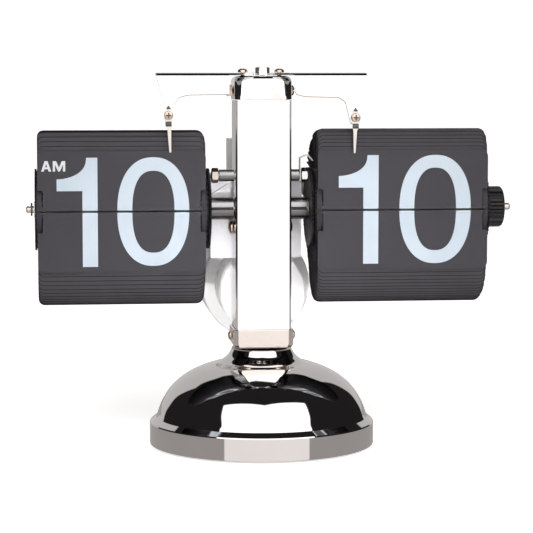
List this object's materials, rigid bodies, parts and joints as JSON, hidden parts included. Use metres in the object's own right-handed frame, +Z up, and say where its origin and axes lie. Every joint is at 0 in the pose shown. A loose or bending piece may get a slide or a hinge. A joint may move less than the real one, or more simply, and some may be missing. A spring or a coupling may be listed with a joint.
{
  "type": "flip number clock",
  "caption": "Free-standing flip clock: hour and minute drums of hinged leaves on one axle, carried by a bright column on a round chromed foot.",
  "frame": {"origin": "centre of the foot's underside, on the table", "axes": "+Z up, +X to the viewer's right along the drum axle, +Y away from the viewer; the face looks along -Y"},
  "size_m": [0.2123, 0.1353, 0.1647],
  "materials": {
    "chrome": "polished chrome",
    "bright_steel": "bright plated sheet and tube",
    "steel": "plain machined steel",
    "dark_steel": "blued steel",
    "brass": "copper-toned brass",
    "leaf": "matte dark grey film",
    "wheel": "moulded black plastic",
    "knob": "ribbed black plastic",
    "housing": "silver-grey moulding",
    "case": "white moulding",
    "gear_plastic": "natural acetal",
    "pad": "matte rubber sheet",
    "weight": "raw casting",
    "cell": "plain printed jacket with no marks"
  },
  "bodies": {
    "root": {"axle_clip": "dark_steel", "base_bolt": "steel", "base_dome": "chrome", "base_foot_pad": "pad", "base_nut": "steel", "base_weight": "weight", "battery_case": "case", "battery_spring": "steel", "cap_cross_bolt": "steel", "cap_nut": "steel", "cap_screw_left": "steel", "cap_screw_middle": "bright_steel", "cap_screw_right": "steel", "column_channel": "chrome", "cross_rod": "steel", "detent_spring": "steel", "drive_motor": "steel", "foot_bracket": "bright_steel", "foot_screw_left": "steel", "foot_screw_right": "steel", "gear_housing": "housing", "hour_finger": "bright_steel", "hour_finger_screw": "brass", "hour_leaf_lower": "leaf", "hour_leaf_pack": "leaf", "housing_cover": "housing", "housing_screw_left": "steel", "housing_screw_right": "steel", "left_arm": "bright_steel", "left_rod_nut": "steel", "left_rod_tube": "bright_steel", "left_sleeve": "bright_steel", "main_axle": "steel", "minute_finger": "bright_steel", "minute_finger_screw": "brass", "minute_leaf_lower": "leaf", "minute_leaf_pack": "leaf", "right_arm": "bright_steel", "right_rod_nut": "steel", "right_rod_tube": "bright_steel", "right_sleeve": "bright_steel", "top_cap": "chrome"},
    "minute_drum": {"minute_wheel_outer": "wheel", "minute_wheel_inner": "wheel", "minute_gear_wheel": "wheel", "minute_hub": "gear_plastic", "setting_knob": "knob"},
    "hour_drum": {"hour_wheel_outer": "wheel", "hour_wheel_inner": "wheel", "hour_gear_wheel": "wheel", "hour_hub": "gear_plastic"},
    "minute_arbor": {"minute_arbor": "gear_plastic"},
    "layshaft": {"layshaft": "gear_plastic"},
    "hour_arbor": {"hour_arbor": "gear_plastic"},
    "motor_pinion": {"motor_pinion": "brass"},
    "hour_leaf": {"hour_leaf_upper": "leaf"},
    "minute_leaf": {"minute_leaf_upper": "leaf"},
    "battery_cover": {"battery_cover": "housing", "battery_contact": "brass"},
    "battery_cell": {"battery_cell": "cell"}
  },
  "joints": [
    {"name": "minute_spin", "type": "hinge", "parent": "root", "child": "minute_drum", "pos_m": [0.06, 0, 0.1035], "axis": [1, 0, 0], "continuous": true},
    {"name": "hour_spin", "type": "hinge", "parent": "root", "child": "hour_drum", "pos_m": [-0.06, 0, 0.1035], "axis": [1, 0, 0], "continuous": true},
    {"name": "minute_arbor_spin", "type": "hinge", "parent": "root", "child": "minute_arbor", "pos_m": [0, 0.01864, 0.1118], "axis": [1, 0, 0], "continuous": true},
    {"name": "layshaft_spin", "type": "hinge", "parent": "root", "child": "layshaft", "pos_m": [0, 0.02654, 0.10331], "axis": [1, 0, 0], "continuous": true},
    {"name": "hour_arbor_spin", "type": "hinge", "parent": "root", "child": "hour_arbor", "pos_m": [0, 0.01834, 0.09456], "axis": [1, 0, 0], "continuous": true},
    {"name": "motor_spin", "type": "hinge", "parent": "root", "child": "motor_pinion", "pos_m": [0, 0.02464, 0.12219], "axis": [1, 0, 0], "continuous": true},
    {"name": "hour_leaf_fall", "type": "hinge", "parent": "root", "child": "hour_leaf", "pos_m": [-0.0613, -0.0176, 0.1035], "axis": [1, 0, 0], "range_deg": [0, 180], "deforming": ["hour_finger"]},
    {"name": "minute_leaf_fall", "type": "hinge", "parent": "root", "child": "minute_leaf", "pos_m": [0.0596, -0.0176, 0.1035], "axis": [1, 0, 0], "range_deg": [0, 180], "deforming": ["minute_finger"]},
    {"name": "cover_slide", "type": "slide", "parent": "root", "child": "battery_cover", "axis": [0, 1, 0], "range_m": [0, 0.045]},
    {"name": "cell_slide", "type": "slide", "parent": "root", "child": "battery_cell", "axis": [0, 1, 0], "range_m": [0, 0.0271]}
  ],
  "couplings": [
    {"joint": "hour_spin", "follows": "minute_spin", "ratio": 0.041667},
    {"joint": "minute_arbor_spin", "follows": "minute_spin", "ratio": -5},
    {"joint": "layshaft_spin", "follows": "minute_spin", "ratio": 1.0417},
    {"joint": "hour_arbor_spin", "follows": "minute_spin", "ratio": -0.20833},
    {"joint": "motor_spin", "follows": "minute_spin", "ratio": 25},
    {"joint": "cell_slide", "follows": "cover_slide", "ratio": 0.6}
  ]
}
